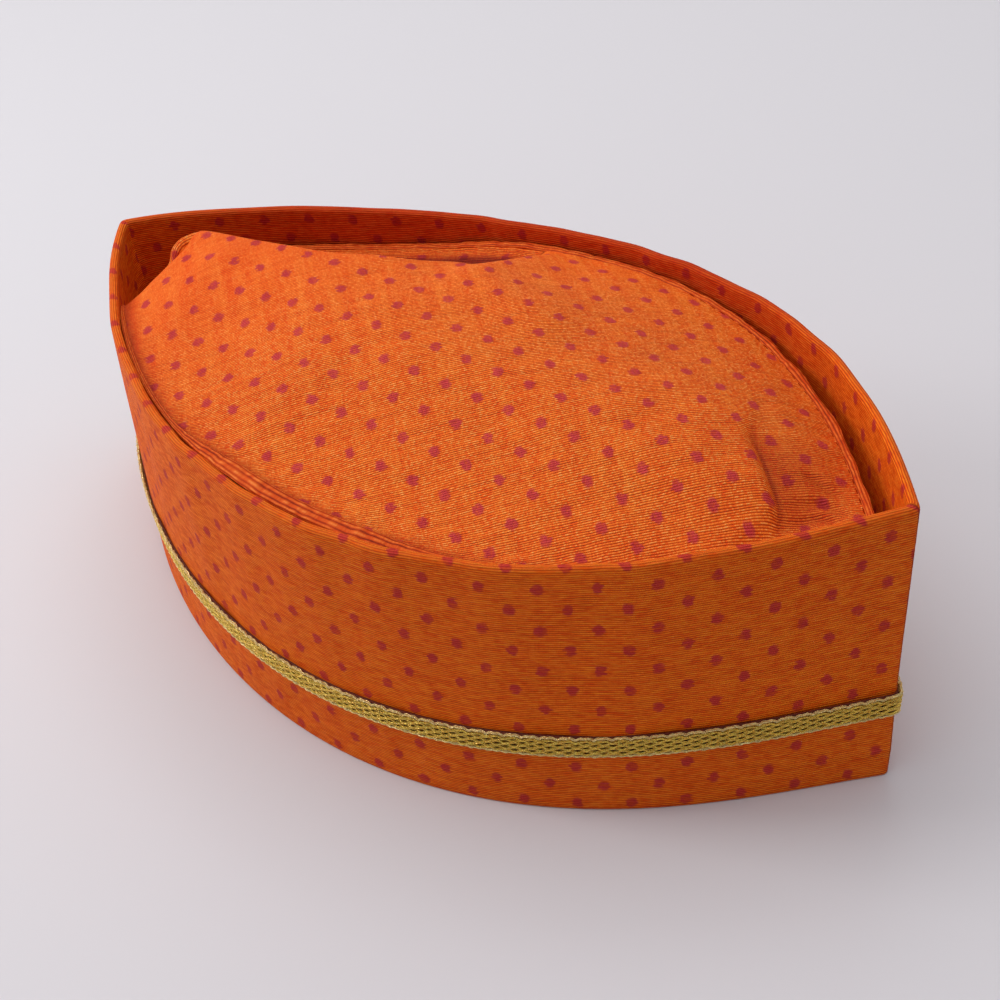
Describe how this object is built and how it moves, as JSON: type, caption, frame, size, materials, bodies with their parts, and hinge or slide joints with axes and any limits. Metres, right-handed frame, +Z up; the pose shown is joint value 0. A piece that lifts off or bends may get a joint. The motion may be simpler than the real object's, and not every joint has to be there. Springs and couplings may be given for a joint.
{
  "type": "gandhi cap",
  "caption": "Boat-shaped cloth cap with a stiff folded band, a puffed pointed crown inside it and a gold braid round it, worn on the head.",
  "frame": {"origin": "bottom centre of the bounding box, on the plane the band stands on", "axes": "+X towards the crease of the right tip, -Y towards the near wall, +Z up"},
  "size_m": [0.245, 0.1302, 0.0845],
  "materials": {
    "band_cloth": "ribbed orange cotton silk with small red dots",
    "side_cloth": "ribbed orange cotton silk with small red dots",
    "welt_cloth": "orange cotton silk turned in and stitched",
    "crown_cloth": "ribbed orange cotton silk with small red dots",
    "gold_thread": "chained metallic gold thread"
  },
  "bodies": {
    "root": {"outer_band": "band_cloth", "crown_side": "side_cloth", "seam_welt": "welt_cloth", "crown_top": "crown_cloth", "gold_braid": "gold_thread"}
  },
  "joints": []
}
